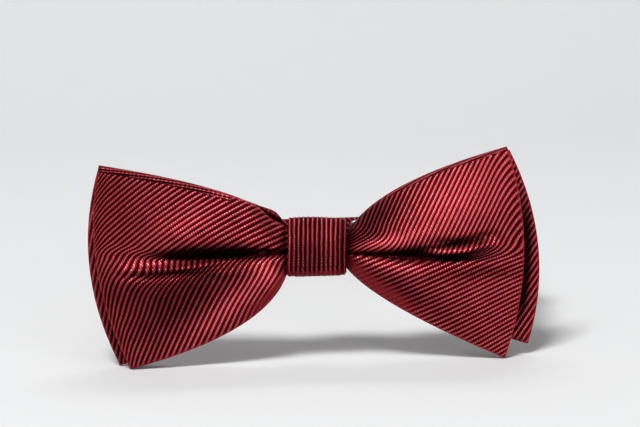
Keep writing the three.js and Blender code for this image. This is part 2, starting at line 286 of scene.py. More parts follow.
def front_relief(side, z, top, low, u):
    """How far the front layer's face stands forward, and the height of the pleat's line."""
    out = np.maximum(u, 0)[:, None]
    size = 4.7 * np.sin(math.pi * np.clip(out, 0, 1) ** 0.7) + 0.9 * out * (1 - out)
    power = mix(0.5, 0.95, smooth(out, 0.62, 0.95))
    if side < 0:
        pleat = mix(-0.9, -1.5, smooth(out, 0.1, 0.6))
        wide = mix(0.5, 1.9, smooth(out, 0.1, 0.62))
        end = 1 - smooth(out, 0.74, 0.86)
        fold = smooth(out, 0.36, 0.6) * (1 - smooth(out, 0.84, 0.96))
    else:
        pleat = mix(-2.0, -4.0, smooth(out, 0.12, 0.7))
        wide = mix(0.45, 1.15, smooth(out, 0.1, 0.55)) * mix(1, 0.45, smooth(out, 0.6, 0.72))
        end = 1 - smooth(out, 0.72, 0.84)
        fold = smooth(out, 0.58, 0.7) * (1 - smooth(out, 0.84, 0.95))
    above = (z - pleat) / (top - pleat)
    below = (pleat - z) / (pleat - low)
    puff = size * np.where(z > pleat, lobe(above, power), lobe(below, power))
    gap = z - pleat
    middle = -0.7 * wide if side < 0 else 0.5 * wide
    deep = 1.7 * end * bump(gap, middle, 1.1 * wide)
    if side < 0:
        taper = mix(0.5, 1.05, smooth(out, 0.45, 0.85))
        ridge = 1.3 * fold * bump(gap, -3.1 * taper, 0.9)
        valley = 0.9 * fold * bump(gap, -4.8 * taper, 0.8)
    else:
        crest = mix(1.7, 3.3, smooth(out, 0.76, 0.9))
        ridge = 1.5 * fold * bump(gap, crest, 0.9)
        valley = 1.7 * fold * bump(gap, crest + 2.5, 1.3)
    return puff - deep + ridge - valley, pleat


def level(x, z):
    """Heights over the bow's middle once the bow hangs a little off level, right side up."""
    return z + 0.02 * x - 0.2


def fold_shade(side, x, z):
    """How deep in the pleat's shadow each point lies, from 0 to 1."""
    t, z = np.abs(x), level(x, z)
    if side < 0:
        low = -1.0 - 1.8 * smooth(t, 12, 23) - 0.5 * smooth(t, 26, 38)
        high = -0.4 + 0.7 * smooth(t, 12, 22) - 1.3 * smooth(t, 32, 44)
        fading = 1 - 0.35 * smooth(t, 38, 44) - 0.65 * smooth(t, 42, 50)
        lit = 0
    else:
        low = -2.25 - 0.9 * smooth(t, 14, 28) - 1.3 * smooth(t, 26, 38)
        high = -1.9 + 2.1 * smooth(t, 14, 30) + 1.6 * smooth(t, 31, 39)
        fading = 1 - 0.25 * smooth(t, 37, 43) - 0.75 * smooth(t, 42, 52)
        dashes = -1.6 + 0.4 * smooth(t, 32, 38) + 1.7 * smooth(t, 38, 45)
        lit = bump(z, dashes, 0.75) * smooth(t, 27, 33)
    soft = mix(0.35, 1.0, smooth(t, 12, 26))
    dark = smooth(z, low - 0.25, low + 0.35) * (1 - smooth(z, high - 0.8 * soft, high + 1.3 * soft))
    return 0.97 * fading * dark * (1 - lit)


def front_turns(side, x, z, pleat, edge, u):
    """How many ribs lie between each point and the knot, over the front of the front layer."""
    out = np.maximum(u, 0)[:, None]
    gap = z - pleat
    loose = smooth(out, 0.72, 0.95)
    if side < 0:
        upper = ribs_at(x, z, 32, 1.29) - 0.0030 * np.maximum(x + 34, 0) ** 2
        upper = upper - 0.003 * np.maximum(-x - 34, 0) ** 2
        upper = upper - 0.08 * np.maximum(4 - edge, 0) ** 2
        # below the pleat the ribs turn steeply over, then lean again, within this depth
        turned = 13
        strip = mix(0.25, 1.05, smooth(out, 0.4, 0.9))
        depth = np.maximum(-gap, 0) / strip
        steps = np.linspace(0, 300, 3001)
        lean = np.interp(steps, [0, 3.6, 4.8, 6.8, 12, 300], [90, 90, 34, 38, 63, 65])
        slope = 0.66 / np.tan(np.radians(lean))
        between = (slope[1:] + slope[:-1]) / 2 * (steps[1] - steps[0])
        fallen = np.concatenate([[0], np.cumsum(between)])
        at_end = np.interp(turned, steps, fallen)
        deeper = np.maximum(-gap, 0)
        fall = np.where(depth < turned, np.interp(depth, steps, fallen) * strip,
                        at_end * strip + 0.33 * (deeper - turned * strip))
        steady = at_end / turned * np.minimum(deeper, turned) + 0.33 * np.maximum(deeper - turned, 0)
        fall = mix(fall, steady, smooth(out, 0.82, 0.95))
        lower = 0.64 * x + fall + 0.07 * (x + 32) * smooth(deeper, 5, 16)
        lower = lower - 0.05 * np.maximum(4 - edge, 0) ** 2
        meet = 0.64 * -53 - ribs_at(-53, -1.9, 32, 1.29) + 0.003 * 19 ** 2
        blend = smooth(-gap, mix(0.2, -4.5, loose), mix(0.9, 1.5, loose))
        return mix(upper, lower - meet, blend)
    upper = ribs_at(x, z, 62, 1.19) - 0.0066 * np.maximum(26 - x, 0) ** 2
    shallow = ribs_at(x, z, 30, 0.95) + 4.5
    upper = mix(upper, shallow, (1 - smooth(gap, 1.5, 9)) * (1 - smooth(x, 13, 27)))
    upper = upper - 0.03 * np.maximum(6 - edge, 0) ** 2
    lower = ribs_at(x, z, 22, 1.22) + 0.004 * np.maximum(-gap, 0) * (x - 26) * smooth(x, 26, 60)
    meet = ribs_at(52, -3.6, 62, 1.19) - ribs_at(52, -3.6, 22, 1.22)
    blend = smooth(-gap, mix(-0.3, -5, loose), mix(0.3, 1.2, loose))
    return mix(upper - meet, lower, blend)


def ribs_at(x, z, lean, pitch):
    """How many straight ribs, leaning up to the right, lie between the origin and a point."""
    return (x * math.sin(math.radians(lean)) - z * math.cos(math.radians(lean))) / pitch


def patch(x, z, at, size, lean):
    """A soft patch round a point, 1 in its middle, with its long side turned up by lean degrees."""
    c, s = math.cos(math.radians(lean)), math.sin(math.radians(lean))
    along = (x - at[0]) * c + (z - at[1]) * s
    across = (z - at[1]) * c - (x - at[0]) * s
    return np.exp(-((along / size[0]) ** 2 + (across / size[1]) ** 2))


# Patches of painted light and shade on the front layer: how much, where, how long and high, and lean.
LEFT_PAINTED_LIGHT = (
    (0.65, (-23, -15), (17, 3.6), 38),
    (0.3, (-38, 4), (14, 5), 30),
    (-0.5, (-37, -13.5), (15, 6.5), 32),
    (-0.2, (-52, 16), (8, 7), 0),
    (-0.3, (-54, -12), (4, 14), -80),
    (0.45, (-14, -6), (3, 5), 30),
    (0.45, (-40, -4.6), (10, 1.0), -2),
    (-0.5, (-33, -6.7), (10, 1.0), -4),
)
RIGHT_PAINTED_LIGHT = (
    (0.5, (38, 11), (15, 8), 30),
    (0.25, (20, -5), (9, 2.2), -12),
    (-0.8, (14, 7), (10, 5), 40),
    (-0.5, (42, -7.2), (12, 2.0), 3),
    (0.6, (17, 0.7), (11, 1.6), 14),
    (0.5, (37, -1.4), (8, 1.0), 4),
    (-0.35, (22, -11.5), (10, 2.5), -28),
)


def wing_painted_light(side, x, z):
    """Painted light and shade on the front layer's satin at each point, as a factor on its colour, 1
    for none.
    """
    z = level(x, z)
    painted_light = 0.95 if side < 0 else 1.08
    for strength, at, size, lean in LEFT_PAINTED_LIGHT if side < 0 else RIGHT_PAINTED_LIGHT:
        painted_light = painted_light + strength * patch(x, z, at, size, lean)
    return painted_light


def shadow_of_front(side, x, z):
    """How dark the rear layer is where the front layer stands close before it."""
    share = np.clip((z - TIP_Z) / (25 - TIP_Z), 0, 1)
    edge = mix(49.5, 52, share) + FRONT["bulge"] * (1 - (2 * share - 1) ** 2)
    if side > 0:
        beside = 1 - smooth(np.abs(x) - edge, 1.0, 2.8)
        return 0.95 * beside * smooth(z, -27, -15) * (1 - smooth(z, 4, 16))
    beside = 1 - smooth(np.abs(x) - edge, 3.5, 5.5)
    over = np.interp(-x, [8, 12.5, 17], [5.8, 8.6, 12.2])
    return 0.4 * beside + 0.6 * bump(z, over + 0.5, 0.8) * (1 - smooth(-x, 14, 18))


def layer_base(layer, side, u, v, face):
    """One face of one wing before its ribs, with what the ribs need to know."""
    x, z, top, low = wing_plan(layer, side, u, v)
    out = np.maximum(u, 0)[:, None]
    height = top - low
    half = thickness(LAYER_THICK, u, v, height, WING_LENGTH)
    middle = mix(layer["knot_y"], layer["edge_y"], out) + 0 * z
    relief, pleat = front_relief(side, z, top, low, u)
    front_y = middle
    if layer is FRONT:
        plain_push = 4.2 * np.sin(math.pi * out**0.8) * np.abs(np.sin(math.pi * v[None, :]))
        middle = middle - (relief if face == "front" else plain_push)
        if face == "back":
            middle = np.maximum(middle, front_y - relief + np.minimum(0, 1.3 - 2 * half) + 0 * z)
    y = middle - half if face == "front" else middle + half
    return np.stack([x, y, z], 2), pleat, height


def layer_half(layer, side, u, v, face):
    """One face of one wing: its points with their ribs raised, and their cloth data."""
    grid, pleat, height = layer_base(layer, side, u, v, face)
    x, z = grid[:, :, 0], grid[:, :, 2]
    out = np.maximum(u, 0)[:, None]
    edge = edge_distance(x)
    from_top = (1 - v[None, :]) * height / 2
    from_low = (1 + v[None, :]) * height / 2
    ends = np.clip(np.minimum(from_top, from_low) / 1.2, 0, 1)
    groove, plain, shade, painted_light = 0 * z, 0 * z, 0 * z, 1 + 0 * z
    if layer is FRONT and face == "front":
        # painted light and shade over the satin, and the pleat's painted shade
        painted_light = wing_painted_light(side, x, z)
        shade = fold_shade(side, x, z)
        turns = front_turns(side, x, z, pleat, edge, u)
        # the turned hem along the upper edge: how deep it is, and where it starts to show
        band = 1.9 if side < 0 else 1.1
        start = 0.4 if side < 0 else 0.36
        shown = smooth(out, start, start + 0.25)
        in_band = smooth(out, start, start + 0.12) * (1 - smooth(from_top, band - 0.25, band + 0.1))
        turns = np.where(in_band > 0.5, from_top / 0.8 + 0.12 * x / RIB_PITCH, turns)
        # painted shade: the hem's sunk crease painted dark, and its band a little darker
        groove = 0.6 * shown * bump(from_top, band, 0.28)
        shade = np.maximum(shade, 0.5 * shown * in_band)
        # along the lower edge by the knot the ribs lie too flat to show
        wide, reach = (4.5, 0.52) if side < 0 else (6.5, 0.66)
        plain = (1 - smooth(out, reach - 0.25, reach)) * (1 - smooth(from_low, wide / 3, wide))
    else:
        way = 1 if face == "front" else -1
        if face == "front":
            lean = math.radians(76 if side < 0 else 54)
        else:
            lean = math.radians(42 if side < 0 else 58)
        turns = (x * way * math.sin(lean) - z * math.cos(lean)) / RIB_PITCH
        if face == "front":
            shade = shadow_of_front(side, x, z)
            plain = 0.8 * (1 - smooth(np.abs(x), 12, 18)) * smooth(z, 0, 4)
    # painted highlight along the folded edges, whose ribs are also flattened
    rim = 1 - smooth(np.minimum(np.minimum(from_top, from_low), edge), 0.2, 0.75)
    painted_light = painted_light + 0.5 * rim * smooth(out, 0.1, 0.4)
    raised = rib(turns) * ends * (1 - 0.85 * plain) * smooth(u[:, None] + 0 * z, -0.05, 0.03)
    outward = surface_normals(grid)
    outward = outward * np.where(outward[:, :, 1:2] * (-1 if face == "front" else 1) < 0, -1, 1)
    lifted = grid + outward * (RIB_HEIGHT * (raised - 0.5) - 0.3 * groove)[:, :, None]
    lifted[-1], lifted[:, 0], lifted[:, -1] = grid[-1], grid[:, 0], grid[:, -1]
    along = x * math.cos(0.78) + z * math.sin(0.78)
    # painted shade: the pleat's and the rear layer's shadows, with the hem's crease
    dark = np.clip(shade + 0.5 * groove, 0, 0.98)
    return lifted, np.stack([turns, along, dark, painted_light, np.maximum(plain, 0.7 * rim)], 2)


def casing(name, front, back, cloth_front, cloth_back, material):
    """One closed flat casing from its front and back faces, which share their side edges."""
    rows, columns = front.shape[:2]
    back[:, 0], back[:, -1] = front[:, 0], front[:, -1]
    front_index = np.arange(rows * columns).reshape(rows, columns)
    back_index = rows * columns + np.arange(rows * back.shape[1]).reshape(rows, -1)
    back_index[:, 0], back_index[:, -1] = front_index[:, 0], front_index[:, -1]
    faces = np.concatenate([grid_faces(front_index, True), grid_faces(back_index, False)]).tolist()
    faces += zip_faces(front_index[0].tolist(), back_index[0].tolist())
    faces += [face[::-1] for face in zip_faces(front_index[-1].tolist(), back_index[-1].tolist())]
    points = np.concatenate([front.reshape(-1, 3), back.reshape(-1, 3)])
    cloth = np.concatenate([cloth_front.reshape(-1, 5), cloth_back.reshape(-1, 5)])
    used = np.zeros(len(points), bool)
    used[np.array(faces).ravel()] = True
    renumber = np.cumsum(used) - 1
    faces = renumber[np.array(faces)].tolist()
    return make_mesh(name, points[used], faces, cloth[used], material)


def bow_layer(name, layer, columns_front, columns_back, rows, material):
    """A whole bow layer as one closed casing, from its left outer edge to its right one."""
    u_out = np.concatenate([np.linspace(0, 0.982, rows), [0.988, 0.994, 0.998, 1.0]])
    u = np.concatenate([[-1, -0.75, -0.5, -0.25, -0.12], u_out])
    faces = []
    for face, columns in (("front", columns_front), ("back", columns_back)):
        v = spaced(columns, 0.35)
        right, cloth_right = layer_half(layer, 1, u, v, face)
        left, cloth_left = layer_half(layer, -1, u[1:], v, face)
        points = np.concatenate([left[::-1], right])
        faces.append((points, np.concatenate([cloth_left[::-1], cloth_right])))
    (front, cloth_front), (back, cloth_back) = faces
    return casing(name, front, back, cloth_front, cloth_back, material)


def bow_canvas(name, layer, material):
    """The interlining inside a bow layer: a thin sheet between its two faces, nearer the back."""
    u = np.concatenate([[-1, -0.75, -0.5, -0.25], np.linspace(0, 0.93, 60)])
    v = np.linspace(-0.88, 0.88, 111)
    halves = []
    for side in (-1, 1):
        faces = [layer_base(layer, side, u, v, face)[0] for face in ("front", "back")]
        halves.append(0.2 * faces[0] + 0.8 * faces[1])
    middle = np.concatenate([halves[0][:0:-1], halves[1]])
    front, back = middle.copy(), middle.copy()
    front[:, 1:-1, 1] -= 0.08
    back[:, 1:-1, 1] += 0.12
    cloth = np.zeros(middle.shape[:2] + (5,))
    return casing(name, front, back, cloth, cloth, material)


# ---- the knot ----


def knot_outline(count, inset):
    """The band's outline as (y, z), evenly spaced from the middle of the back over the top to the
    front and round below."""
    back = KNOT_BACK_Y - inset
    half = KNOT_HALF_Z - inset
    corner = 2.4 - inset / 3
    dome_y = KNOT_FRONT_Y + 4.6
    dome = dome_y - KNOT_FRONT_Y - inset
    turn = np.linspace(0, math.pi / 2, 24)
    quarter = np.stack([
        back - corner + corner * np.cos(turn),
        half - corner + corner * np.sin(turn),
    ], 1)
    swing = np.linspace(math.pi / 2, math.pi, 60)
    squared = 0.8
    front = np.stack([
        dome_y - dome * np.abs(np.cos(swing)) ** squared,
        half * np.sin(swing) ** squared,
    ], 1)
    upper = np.concatenate([[[back, 0]], quarter, front])
    lower = upper[::-1] * [1, -1]
    ring = np.concatenate([upper, lower[1:]])
    gaps = np.linalg.norm(np.diff(ring, axis=0), axis=1)
    length = np.concatenate([[0], np.cumsum(gaps)])
    at = np.linspace(0, length[-1], count + 1)[:-1]
    return np.stack([np.interp(at, length, ring[:, k]) for k in (0, 1)], 1)


def sleeve_faces(outer, inner):
    """Triangles of a closed sleeve from the point numbers of its outside and its inside."""
    faces = []
    for index, flip in ((outer, False), (inner, True)):
        faces.append(grid_faces(np.concatenate([index, index[:1]]), flip))
    for a, b, flip in ((outer[:, 0], inner[:, 0], True), (outer[:, -1], inner[:, -1], False)):
        strip = np.stack([a, b], 1)
        faces.append(grid_faces(np.concatenate([strip, strip[:1]]), flip))
    return np.concatenate(faces).tolist()


def knot_band(material):
    """The ribbed band round the knot, with a hem at each side, as a closed sleeve."""
    around, across = 260, 150
    t = spaced(across, 0.3)
    outline = knot_outline(around, 0)
    x, y, z = np.broadcast_arrays(KNOT_HALF_X * t, outline[:, :1], outline[:, 1:])
    lean = 0.045 * z
    arch = (0.45 * (1 - t[None, :] ** 2) - 0.4 * t[None, :]) * smooth(z, 2, 7)
    waist = 1 + 0.012 * (z / KNOT_HALF_Z) ** 2
    grid = np.stack([x * waist + lean, y, z + arch], 2)
    slope_y = np.gradient(outline[:, 0])
    slope_z = np.gradient(outline[:, 1])
    size = np.hypot(slope_y, slope_z)
    normal = np.stack([0 * size, slope_z / size, -slope_y / size], 1)
    middle = outline.mean(0)
    outward = np.sign(((outline - middle) * normal[:, 1:]).sum(1))
    normal = normal * outward[:, None]
    wobble = 0.035 * np.sin(0.7 * z + 1.3 * x) + 0.025 * np.sin(2.3 * z - 0.7 * x)
    turns = (x + wobble) / 1.22 + 0.5
    from_side = KNOT_HALF_X * (1 - np.abs(t))[None, :] + 0 * z
    is_front = smooth(-y, 3, 6)
    hem = is_front * (bump(from_side, 1.35, 0.2) + 0.8 * bump(from_side, 0.62, 0.12) * (x > 0))
    plain = smooth(-z, 5.2, 7.2) * is_front + smooth(-z, 6.6, 7.4) * (1 - is_front)
    raised = rib(turns) * (1 - 0.8 * np.clip(plain, 0, 1))
    rounding = 0.55 * (1 - np.sqrt(1 - (1 - np.clip(from_side / 0.55, 0, 1)) ** 2))
    lift = 0.24 * (raised - 0.6) - 0.3 * hem - rounding
    grid = grid + normal[:, None, :] * lift[:, :, None]
    along = z + y
    # painted highlights along a few of the knot's ribs, and painted light over its upper front
    painted_light = 0.62 + 0.4 * bump(x, -6.6, 0.9) + 0.25 * bump(x, 3.2, 1.8) + 0.1 * bump(x, 6.4, 0.6)
    painted_light = painted_light + 0.12 * smooth(z, -2, 6) * is_front
    # painted shade in the hems' grooves
    data = np.stack([turns, along, np.clip(0.5 * hem, 0, 1), painted_light, plain], 2)
    inner = knot_outline(around, 0.8)
    inside_t = np.array([-1, 0, 1])
    inner_grid = grid_of((KNOT_HALF_X - 0.05) * inside_t, inner[:, :1], inner[:, 1:])
    outer_index = np.arange(around * across).reshape(around, across)
    inner_index = around * across + np.arange(around * 3).reshape(around, 3)
    points = np.concatenate([grid.reshape(-1, 3), inner_grid.reshape(-1, 3)])
    unseen = np.full((around * 3, 5), 0.5)
    cloth = np.concatenate([data.reshape(-1, 5), unseen])
    return make_mesh("knot_cloth", points, sleeve_faces(outer_index, inner_index), cloth, material)


# ---- strap, tail and tab ----

CORNER_X = 28.0
CORNER_R = 28.0
NAPE_Y = 74.0
NAPE_R = CORNER_X + CORNER_R
CORNER_Y = STRAP_Y + CORNER_R
HOOK_X = 25.0
HOOK_TURN = (WIRE + STRAP_THICK) / 2 + 0.15
HOOK_Y = STRAP_Y + HOOK_TURN
TAIL_THICK = 1.2
TAIL_R = CORNER_R - (STRAP_THICK / 2 + 0.4 + TAIL_THICK / 2)
SLIDER_Y = 46.0
TAIL_LOOP = WIRE / 2 + 0.2 + TAIL_THICK
SLIDER_BAR_X = NAPE_R - STRAP_THICK / 2 - 0.3 - TAIL_LOOP


def arc(x, y, radius, start, stop):
    """Points along an arc in the x, y plane, about two degrees apart."""
    turn = np.radians(np.linspace(start, stop, max(8, int(abs(stop - start) / 2))))
    return np.stack([x + radius * np.cos(turn), y + radius * np.sin(turn)], 1)


def even_path(parts, step):
    """Points a step apart along a path in the x, y plane, with the length up to each."""
    line = np.concatenate([np.asarray(part, float).reshape(-1, 2) for part in parts])
    gaps = np.linalg.norm(np.diff(line, axis=0), axis=1)
    line = line[np.concatenate([[True], gaps > 1e-6])]
    gaps = np.linalg.norm(np.diff(line, axis=0), axis=1)
    length = np.concatenate([[0], np.cumsum(gaps)])
    at = np.linspace(0, length[-1], max(2, int(length[-1] / step)))
    return np.stack([np.interp(at, length, line[:, k]) for k in (0, 1)], 1), at


def ribbon(name, parts, half_wide, thick, step, across, material, start_length=0.0):
    """A flat woven band along a path, ribbed on both faces and rounded at its edges. half_wide may
    be a function of the points."""
    line, at = even_path(parts, step)
    side = path_sides(line)
    t = spaced(across, 0.5)
    wide = half_wide(line) if callable(half_wide) else np.full(len(line), float(half_wide))
    z = wide[:, None] * t[None, :]
    from_side = wide[:, None] * (1 - np.abs(t))[None, :]
    edge = thick / 2
    half = edge * np.sqrt(1 - (1 - np.clip(from_side / edge, 0, 1)) ** 2)
    ends = np.clip(from_side / 1.1, 0, 1)
    length = at[:, None] + start_length
    pair = []
    for way in (-1, 1):
        turns = (length + way * z) / math.sqrt(2) / RIB_PITCH
        seam = bump(from_side, 1.5, 0.25)
        lift = half + ends * 0.16 * (rib(turns) - 0.6) - 0.12 * seam * ends
        lift = np.where(np.abs(t)[None, :] < 1, lift, 0)
        lift = way * lift
        grid = grid_of(line[:, :1] + side[:, :1] * lift, line[:, 1:] + side[:, 1:] * lift, z)
        # painted shade in the seam's groove
        data = grid_of(turns, length - way * z, 0.5 * seam, 0.9, 0)
        pair.append((grid, data))
    (front, cloth_front), (back, cloth_back) = pair
    return casing(name, front, back, cloth_front, cloth_back, material)


def squeezed(line):
    """Half the strap's width: narrow inside the knot, full from just outside it."""
    return mix(5.0, STRAP_HALF, np.maximum(smooth(-line[:, 0], 8, 14), smooth(line[:, 1], 20, 30)))


def neck_strap(material):
    """The ring round the neck in two pieces, which meet at the middle of the back."""
    left = [
        [[1.4, STRAP_Y], [-CORNER_X, STRAP_Y]],
        arc(-CORNER_X, CORNER_Y, CORNER_R, 270, 180),
        arc(0, NAPE_Y, NAPE_R, 180, 90),
    ]
    right = [
        arc(0, NAPE_Y, NAPE_R, 90, 0),
        arc(CORNER_X, CORNER_Y, CORNER_R, 0, -90),
        arc(HOOK_X, HOOK_Y, HOOK_TURN, -90, -270),
    ]
    left_length = even_path(left, 0.4)[1][-1]
    first = ribbon("neck_strap_left_cloth", left, squeezed, STRAP_THICK, 0.38, 36, material)
    second = ribbon("neck_strap_right_cloth", right, STRAP_HALF, STRAP_THICK, 0.38, 36, material,
                    left_length)
    return first, second


def strap_tail(material):
    """The doubled-back tail, from the hook to its turn round the slider's middle bar."""
    x = CORNER_X + TAIL_R
    parts = [
        [[HOOK_X + 0.35, HOOK_Y + HOOK_TURN]],
        arc(CORNER_X, CORNER_Y, TAIL_R, -80, 0),
        [[x, SLIDER_Y - 2]],
        arc(SLIDER_BAR_X, SLIDER_Y, TAIL_LOOP - TAIL_THICK / 2, -12, 285),
    ]
    return ribbon("strap_tail_cloth", parts, STRAP_HALF, TAIL_THICK, 0.34, 36, material)


def eye_tab(material):
    """The cloth loop that holds the eye: out from the knot, round the wire and back."""
    ply = 0.8
    apart = ply / 2 + 0.01
    start_x = 1.75
    flare_x = 8.0
    parts = [
        [[start_x, EYE_Y - apart], [flare_x, EYE_Y - apart]],
        arc(EYE_LEFT, EYE_Y, WIRE / 2 + 0.2 + ply / 2, -110, 110),
        [[flare_x, EYE_Y + apart], [start_x, EYE_Y + apart]],
    ]
    return ribbon("eye_tab_cloth", parts, 4.8, ply - 0.1, 0.3, 28, material)


# ---- metal and thread ----


def tube(path, radius, sides, closed=False, twist=0.0):
    """A round tube along a path of 3-D points: its points and faces."""
    path = np.asarray(path, float)
    count = len(path)
    along = np.roll(path, -1, 0) - np.roll(path, 1, 0)
    if not closed:
        along[0], along[-1] = path[1] - path[0], path[-1] - path[-2]
    along = along / np.linalg.norm(along, axis=1, keepdims=True)
    first = np.cross(along[0], [0.31, 0.52, 0.8])
    points = []
    for k in range(count):
        first = first - along[k] * (first @ along[k])
        first = first / np.linalg.norm(first)
        second = np.cross(along[k], first)
        turn = 2 * math.pi * np.arange(sides) / sides
        size = radius * (1 + twist * np.cos(2 * turn + 2.4 * k))
        ring = path[k] + (size * np.cos(turn))[:, None] * first
        points.append(ring + (size * np.sin(turn))[:, None] * second)
    index = ring_index(count, sides)
    if closed:
        shift = int(np.argmin(np.linalg.norm(points[0] - points[-1][0], axis=1)))
        last = np.roll(index[0, :-1], -shift)
        index = np.concatenate([index, [np.append(last, last[0])]])
    faces = grid_faces(index, False).tolist()
    if not closed:
        faces.append(list(range(sides))[::-1])
        faces.append(list(range((count - 1) * sides, count * sides)))
    return np.concatenate(points), faces


def rounded(corners, radius, steps, closed=True):
    """A path through corners with each one rounded off."""
    corners = [np.array(c, float) for c in corners]
    path = []
    for k, corner in enumerate(corners):
        if not closed and k in (0, len(corners) - 1):
            path.append(corner)
            continue
        before, after = corners[k - 1], corners[(k + 1) % len(corners)]
        a = corner + (before - corner) / np.linalg.norm(before - corner) * radius
        b = corner + (after - corner) / np.linalg.norm(after - corner) * radius
        for t in np.linspace(0, 1, steps):
            path.append((1 - t) ** 2 * a + 2 * t * (1 - t) * corner + t * t * b)
    return path


def together(name, shapes, material):
    """Several closed shapes as one piece."""
    points, faces, count = [], [], 0
    for shape_points, shape_faces in shapes:
        points.append(shape_points)
        faces += [[k + count for k in face] for face in shape_faces]
        count += len(shape_points)
    return make_mesh(name, np.concatenate(points), faces, None, material)


def wire_frame(left, right, half, y):
    """A closed rectangle of wire with rounded corners, standing in the x, z plane."""
    corners = [(right, y, half), (left, y, half), (left, y, -half), (right, y, -half)]
    dense = []
    path = rounded(corners, 1.5, 10)
    for a, b in zip(path, path[1:] + path[:1]):
        steps = max(1, int(np.linalg.norm(b - a) / 0.5))
        dense += [a + (b - a) * k / steps for k in range(steps)]
    return tube(dense, WIRE / 2, 20, closed=True)


def slab(line, half_thick, half_wide, soft):
    """A flat strip of metal with softened edges along a path in the x, y plane."""
    line = np.asarray(line, float)
    side = path_sides(line)
    turn = np.radians(np.arange(0, 360, 15) + 7.5)
    across = np.sign(np.cos(turn)) * (half_thick - soft) + soft * np.cos(turn)
    wide = np.sign(np.sin(turn)) * (half_wide - soft) + soft * np.sin(turn)
    rings = []
    for (x, y), (side_x, side_y) in zip(line, side):
        rings.append(np.stack([x + side_x * across, y + side_y * across, wide], 1))
    count = len(turn)
    faces = grid_faces(ring_index(len(line), count), True).tolist()
    faces.append(list(range(count)))
    faces.append(list(range((len(line) - 1) * count, len(line) * count))[::-1])
    return np.concatenate(rings), faces


def hook_piece(material):
    """The hook: a wire rectangle with a flat tongue, whose lip drops through the eye."""
    frame_wire = wire_frame(HOOK_LEFT, HOOK_X, STRAP_HALF + 0.4 + WIRE / 2, HOOK_Y)
    bend = 1.1
    lip_end_y = 2.3
    tongue_x = np.linspace(HOOK_LEFT + 0.3, LIP_X + bend + 0.2, 8)
    lip_y = np.linspace(HOOK_Y - bend - 0.1, lip_end_y, 6)
    line = np.concatenate([
        np.stack([tongue_x, np.full(8, HOOK_Y)], 1),
        arc(LIP_X + bend, HOOK_Y - bend, bend, 90, 180),
        np.stack([np.full(6, LIP_X), lip_y], 1),
    ])
    return together("hook_metal", [frame_wire, slab(line, 0.6, 3.0, 0.28)], material)


def slider_piece(material):
    """The slider: two side plates, joined by two outer bars and one middle bar."""
    half = STRAP_HALF + 0.4 + WIRE / 2
    outer_x = NAPE_R + STRAP_THICK / 2 + 0.3 + WIRE / 2
    rim = WIRE / 2 + 0.2
    reach = 5.2
    pull_x = 2 * (SLIDER_BAR_X - rim) - outer_x
    t = np.linspace(0, 1, 28)[1:-1, None]
    low = np.array([outer_x, SLIDER_Y - reach - rim])
    high = np.array([outer_x, SLIDER_Y + reach + rim])
    pull = np.array([pull_x, SLIDER_Y])
    bow = (1 - t) ** 2 * high + 2 * t * (1 - t) * pull + t * t * low
    outline = np.concatenate([
        arc(outer_x, SLIDER_Y - reach, rim, 270, 360),
        arc(outer_x, SLIDER_Y + reach, rim, 0, 90),
        bow,
    ])
    inward = outline.mean(0) - outline
    inward = inward / np.linalg.norm(inward, axis=1, keepdims=True)
    # heights and insets of a plate's rounded rim
    rim_steps = ((-0.7, 0.22), (-0.62, 0.08), (-0.48, 0), (0.48, 0), (0.62, 0.08), (0.7, 0.22))
    shapes = []
    for z in (-half, half):
        rings = []
        for drop, inset in rim_steps:
            ring = outline + inward * inset
            rings.append(np.column_stack([ring, np.full(len(ring), z + drop)]))
        count = len(outline)
        faces = grid_faces(ring_index(len(rim_steps), count), True).tolist()
        faces.append(list(range(count))[::-1])
        faces.append(list(range(5 * count, 6 * count)))
        shapes.append((np.concatenate(rings), faces))
    bars = ((outer_x, SLIDER_Y - reach), (outer_x, SLIDER_Y + reach), (SLIDER_BAR_X, SLIDER_Y))
    for x, y in bars:
        shapes.append(tube([(x, y, k) for k in np.linspace(-half, half, 12)], WIRE / 2, 20))
    return together("slider_metal", shapes, material)


def stitch_row(name, centre, along, across, length, swing, turns, material, radius=0.2):
    """A row of zigzag stitching, with its corners rounded where the thread enters the cloth."""
    centre, along, across = (np.array(v, float) for v in (centre, along, across))
    corners = []
    for k in range(turns + 1):
        aside = 0.5 if k % 2 else -0.5
        corners.append(centre + along * length * (k / turns - 0.5) + across * swing * aside)
    path = rounded(corners, 0.35, 5, closed=False)
    return together(name, [tube(path, radius, 8, twist=0.12)], material)


def gather_rings(material):
    """The gathering thread, three turns round both pinched layers."""
    steps = np.linspace(0, 1, 220)
    turn = steps * 6 * math.pi
    c, s = np.cos(turn), np.sin(turn)
    reach_y = (REAR["knot_y"] - FRONT["knot_y"] + 3.4) / 2 + 0.7
    path = np.stack([
        2.4 * (steps - 0.5),
        (REAR["knot_y"] + FRONT["knot_y"]) / 2 + reach_y * np.sign(c) * np.abs(c) ** 0.5,
        (PINCH_HALF + 0.8) * np.sign(s) * np.abs(s) ** 0.5,
    ], 1)
    return together("gather_thread_turns", [tube(path, 0.25, 8, twist=0.12)], material)


def knot_canvas(material):
    """The interlining sleeve inside the knot's band."""
    around = 120
    x = np.array([-6.2, 0, 6.2])
    grids = []
    for inset in (1.15, 1.85):
        outline = knot_outline(around, inset)
        grids.append(grid_of(x, outline[:, :1], outline[:, 1:]))
    outer = np.arange(around * 3).reshape(around, 3)
    points = np.concatenate([grid.reshape(-1, 3) for grid in grids])
    faces = sleeve_faces(outer, outer + around * 3)
    return make_mesh("knot_canvas", points, faces, None, material)


# ---- materials ----

